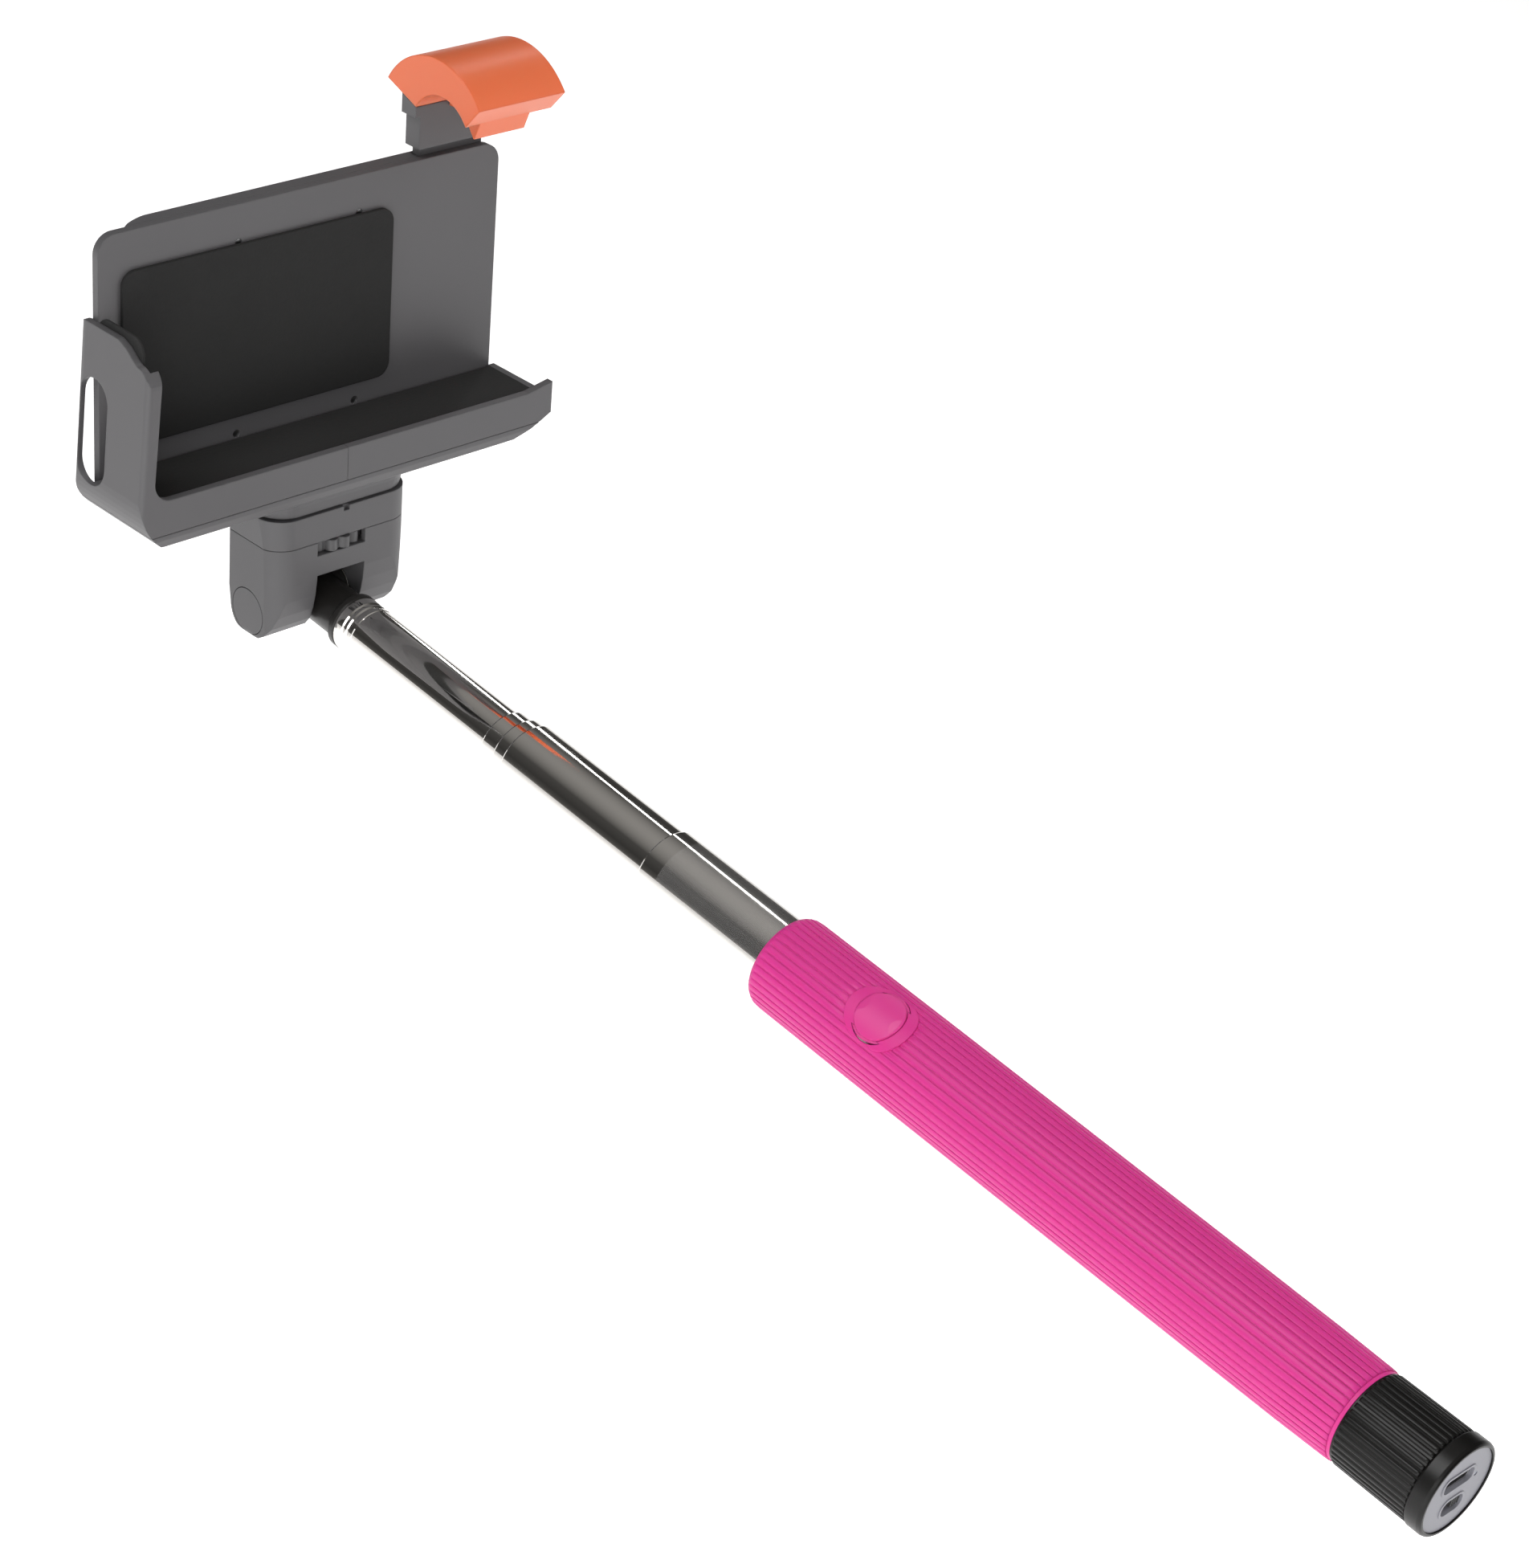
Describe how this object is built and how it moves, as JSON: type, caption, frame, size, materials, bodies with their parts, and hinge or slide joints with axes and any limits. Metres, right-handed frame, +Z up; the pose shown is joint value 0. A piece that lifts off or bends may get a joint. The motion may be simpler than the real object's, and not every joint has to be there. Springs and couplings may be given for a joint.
{
  "type": "selfie stick",
  "caption": "Extending hand-held pole with a ribbed grip, a shutter button and a tilting sprung phone clamp.",
  "frame": {"origin": "middle of the end plate's outer face, on the pole's axis", "axes": "+Y along the pole from the end cap to the head, +Z up on the side that the phone clamp stands on, +X to the clamp's right as seen from the handle"},
  "size_m": [0.1007, 0.3245, 0.1178],
  "materials": {
    "grip_rubber": "soft satin",
    "button_rubber": "soft satin",
    "cap_plastic": "satin",
    "face_grey": "satin",
    "chrome_tube": "polished",
    "clear_film": "clear",
    "bush_plastic": "smooth",
    "knuckle_black": "satin",
    "head_black": "satin",
    "wheel_black": "satin",
    "clamp_black": "satin",
    "pad_foam": "foam",
    "jaw_orange": "satin gloss",
    "fastener_steel": "plated",
    "spring_steel": "bright wire",
    "insert_brass": "machined",
    "board_green": "lacquered",
    "part_black": "moulded",
    "flex_amber": "film",
    "light_clear": "clear",
    "cell_blue": "shrink sleeve"
  },
  "bodies": {
    "handle": {"grip_sleeve": "grip_rubber", "dome_switch": "spring_steel", "button_flex": "flex_amber", "end_cap": "cap_plastic", "face_plate": "face_grey", "usb_shell": "fastener_steel", "usb_tongue": "part_black", "charge_board": "board_green", "radio_module": "part_black", "switch_body": "fastener_steel", "led_pipe": "light_clear", "battery": "cell_blue", "battery_tray": "part_black", "label_film": "clear_film", "section_5": "chrome_tube"},
    "shutter_button": {"shutter_button": "button_rubber"},
    "power_slider": {"switch_slider": "part_black"},
    "tube_4": {"section_4": "chrome_tube", "bush_4": "bush_plastic"},
    "tube_3": {"section_3": "chrome_tube", "bush_3": "bush_plastic"},
    "tube_2": {"section_2": "chrome_tube", "bush_2": "bush_plastic"},
    "tube_1": {"section_1": "chrome_tube", "bush_1": "bush_plastic", "knuckle": "knuckle_black"},
    "head_block": {"block_lower": "head_black", "block_top": "head_black", "block_screws": "fastener_steel", "pivot_bolt": "fastener_steel", "pivot_nut": "fastener_steel", "pivot_cap_left": "head_black", "pivot_cap_right": "head_black", "washer_left": "bush_plastic", "washer_right": "bush_plastic", "swivel_pad": "pad_foam"},
    "thumbwheel": {"thumbwheel": "wheel_black", "camera_screw": "fastener_steel"},
    "clamp": {"thread_insert": "insert_brass", "tray_base": "clamp_black", "back_plate": "clamp_black", "back_cover": "clamp_black", "front_left": "clamp_black", "front_right": "clamp_black", "end_pad": "pad_foam", "floor_pad": "pad_foam", "back_pad": "pad_foam", "clamp_screws": "fastener_steel", "spring_left": "spring_steel", "spring_right": "spring_steel"},
    "jaw": {"jaw_arm": "clamp_black", "jaw": "jaw_orange", "jaw_screws": "fastener_steel"}
  },
  "joints": [
    {"name": "extend_4", "type": "slide", "parent": "handle", "child": "tube_4", "axis": [0, 1, 0], "range_m": [-0.037, 0.087]},
    {"name": "extend_3", "type": "slide", "parent": "tube_4", "child": "tube_3", "axis": [0, 1, 0], "range_m": [0, 0.127]},
    {"name": "extend_2", "type": "slide", "parent": "tube_3", "child": "tube_2", "axis": [0, 1, 0], "range_m": [-0.001, 0.127]},
    {"name": "extend_1", "type": "slide", "parent": "tube_2", "child": "tube_1", "axis": [0, 1, 0], "range_m": [-0.0415, 0.092]},
    {"name": "head_tilt", "type": "hinge", "parent": "tube_1", "child": "head_block", "pos_m": [0, 0.30141, 0], "axis": [1, 0, 0], "range_deg": [-84, 20]},
    {"name": "thumbwheel_turn", "type": "hinge", "parent": "head_block", "child": "thumbwheel", "pos_m": [0, 0.30223, 0.01449], "axis": [0, 0.1045, 0.9945], "continuous": true},
    {"name": "clamp_swivel", "type": "hinge", "parent": "head_block", "child": "clamp", "pos_m": [0, 0.30306, 0.02235], "axis": [0, 0.1045, 0.9945], "range_deg": [-90, 90]},
    {"name": "jaw_slide", "type": "slide", "parent": "clamp", "child": "jaw", "axis": [0, 0.1045, 0.9945], "range_m": [0, 0.025], "stiffness_N_per_m": 150, "springref_m": -0.03, "deforming": ["spring_left", "spring_right"]},
    {"name": "shutter_press", "type": "slide", "parent": "handle", "child": "shutter_button", "axis": [-0.4848, 0, 0.8746], "range_m": [-0.0003, 0], "stiffness_N_per_m": 2000, "springref_m": 0.0002},
    {"name": "power_slide", "type": "slide", "parent": "handle", "child": "power_slider", "axis": [1, 0, 0], "range_m": [-0.0023, 0]}
  ]
}
